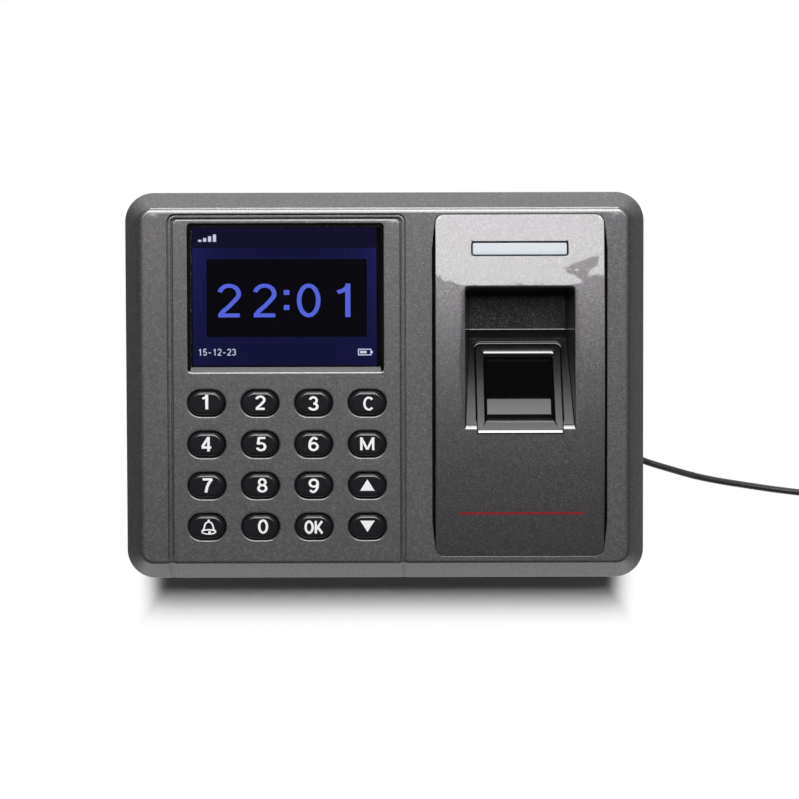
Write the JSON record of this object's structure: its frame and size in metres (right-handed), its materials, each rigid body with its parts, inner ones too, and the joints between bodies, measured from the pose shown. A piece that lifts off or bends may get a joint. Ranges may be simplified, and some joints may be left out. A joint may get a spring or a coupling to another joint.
{
  "type": "fingerprint scanner terminal",
  "caption": "Wall-mounted access terminal with a bevelled grey case, colour display, pressing keypad, arched cover with a finger well and prism sensor, status strip and power lead.",
  "frame": {"origin": "middle of the back, on the plane that meets the wall or table", "axes": "+X to the right of the face, +Y to the top of the face, +Z out of the face"},
  "size_m": [0.2888, 0.134, 0.0396],
  "materials": {
    "shell_paint": "grey metallic paint with fine sparkle",
    "cover_paint": "dark grey metallic paint under gloss lacquer",
    "rear_plastic": "fine texture",
    "zinc_steel": "zinc plated",
    "black_steel": "black oxide",
    "clear_window": "clear polished",
    "display_glass": "lit display",
    "display_frame": "stamped",
    "ribbon": "amber film",
    "silicone": "matt",
    "circuit_board": "solder mask",
    "key_plastic": "satin black with white legends",
    "lens_plastic": "lit, diffusing",
    "lamp": "clear resin",
    "bezel_plastic": "satin black",
    "prism_glass": "polished",
    "black_plastic": "moulded",
    "red_wire": "insulated",
    "relay_blue": "moulded",
    "cell_steel": "bright",
    "header_plastic": "moulded",
    "magnet": "dull",
    "lead_rubber": "satin black",
    "plug_steel": "plated"
  },
  "bodies": {
    "terminal": {"front_shell": "shell_paint", "keypad_panel": "shell_paint", "scanner_cover": "cover_paint", "rear_shell": "rear_plastic", "wall_plate": "zinc_steel", "plate_screw": "zinc_steel", "cover_screws": "zinc_steel", "keypad_screws": "zinc_steel", "sensor_screws": "zinc_steel", "board_screws": "zinc_steel", "case_screws": "black_steel", "lcd_window": "clear_window", "lcd_panel": "display_glass", "lcd_frame": "display_frame", "lcd_ribbon": "ribbon", "keypad_mat": "silicone", "keypad_board": "circuit_board", "indicator_board": "circuit_board", "sensor_board": "circuit_board", "main_board": "circuit_board", "indicator_lens": "lens_plastic", "indicator_lamps": "lamp", "sensor_lamps": "lamp", "sensor_bezel": "bezel_plastic", "sensor_prism": "prism_glass", "sensor_housing": "black_plastic", "sensor_camera": "black_plastic", "cell_holder": "black_plastic", "speaker": "black_plastic", "main_chips": "black_plastic", "sensor_harness": "red_wire", "lead_wires": "red_wire", "lock_relay": "relay_blue", "coin_cell": "cell_steel", "lead_header": "header_plastic", "speaker_magnet": "magnet", "lead_grip": "lead_rubber", "power_lead": "lead_rubber", "lead_coil": "lead_rubber", "lead_tail": "lead_rubber", "coil_tie": "lead_rubber", "plug_body": "lead_rubber", "plug_shell": "plug_steel"},
    "key_1": {"key_1": "key_plastic"},
    "key_2": {"key_2": "key_plastic"},
    "key_3": {"key_3": "key_plastic"},
    "key_clear": {"key_clear": "key_plastic"},
    "key_4": {"key_4": "key_plastic"},
    "key_5": {"key_5": "key_plastic"},
    "key_6": {"key_6": "key_plastic"},
    "key_menu": {"key_menu": "key_plastic"},
    "key_7": {"key_7": "key_plastic"},
    "key_8": {"key_8": "key_plastic"},
    "key_9": {"key_9": "key_plastic"},
    "key_up": {"key_up": "key_plastic"},
    "key_bell": {"key_bell": "key_plastic"},
    "key_0": {"key_0": "key_plastic"},
    "key_ok": {"key_ok": "key_plastic"},
    "key_down": {"key_down": "key_plastic"}
  },
  "joints": [
    {"name": "key_1_press", "type": "slide", "parent": "terminal", "child": "key_1", "axis": [0, 0, -1], "range_m": [0, 0.0012], "stiffness_N_per_m": 800, "springref_m": -0.0004},
    {"name": "key_2_press", "type": "slide", "parent": "terminal", "child": "key_2", "axis": [0, 0, -1], "range_m": [0, 0.0012], "stiffness_N_per_m": 800, "springref_m": -0.0004},
    {"name": "key_3_press", "type": "slide", "parent": "terminal", "child": "key_3", "axis": [0, 0, -1], "range_m": [0, 0.0012], "stiffness_N_per_m": 800, "springref_m": -0.0004},
    {"name": "key_clear_press", "type": "slide", "parent": "terminal", "child": "key_clear", "axis": [0, 0, -1], "range_m": [0, 0.0012], "stiffness_N_per_m": 800, "springref_m": -0.0004},
    {"name": "key_4_press", "type": "slide", "parent": "terminal", "child": "key_4", "axis": [0, 0, -1], "range_m": [0, 0.0012], "stiffness_N_per_m": 800, "springref_m": -0.0004},
    {"name": "key_5_press", "type": "slide", "parent": "terminal", "child": "key_5", "axis": [0, 0, -1], "range_m": [0, 0.0012], "stiffness_N_per_m": 800, "springref_m": -0.0004},
    {"name": "key_6_press", "type": "slide", "parent": "terminal", "child": "key_6", "axis": [0, 0, -1], "range_m": [0, 0.0012], "stiffness_N_per_m": 800, "springref_m": -0.0004},
    {"name": "key_menu_press", "type": "slide", "parent": "terminal", "child": "key_menu", "axis": [0, 0, -1], "range_m": [0, 0.0012], "stiffness_N_per_m": 800, "springref_m": -0.0004},
    {"name": "key_7_press", "type": "slide", "parent": "terminal", "child": "key_7", "axis": [0, 0, -1], "range_m": [0, 0.0012], "stiffness_N_per_m": 800, "springref_m": -0.0004},
    {"name": "key_8_press", "type": "slide", "parent": "terminal", "child": "key_8", "axis": [0, 0, -1], "range_m": [0, 0.0012], "stiffness_N_per_m": 800, "springref_m": -0.0004},
    {"name": "key_9_press", "type": "slide", "parent": "terminal", "child": "key_9", "axis": [0, 0, -1], "range_m": [0, 0.0012], "stiffness_N_per_m": 800, "springref_m": -0.0004},
    {"name": "key_up_press", "type": "slide", "parent": "terminal", "child": "key_up", "axis": [0, 0, -1], "range_m": [0, 0.0012], "stiffness_N_per_m": 800, "springref_m": -0.0004},
    {"name": "key_bell_press", "type": "slide", "parent": "terminal", "child": "key_bell", "axis": [0, 0, -1], "range_m": [0, 0.0012], "stiffness_N_per_m": 800, "springref_m": -0.0004},
    {"name": "key_0_press", "type": "slide", "parent": "terminal", "child": "key_0", "axis": [0, 0, -1], "range_m": [0, 0.0012], "stiffness_N_per_m": 800, "springref_m": -0.0004},
    {"name": "key_ok_press", "type": "slide", "parent": "terminal", "child": "key_ok", "axis": [0, 0, -1], "range_m": [0, 0.0012], "stiffness_N_per_m": 800, "springref_m": -0.0004},
    {"name": "key_down_press", "type": "slide", "parent": "terminal", "child": "key_down", "axis": [0, 0, -1], "range_m": [0, 0.0012], "stiffness_N_per_m": 800, "springref_m": -0.0004}
  ]
}
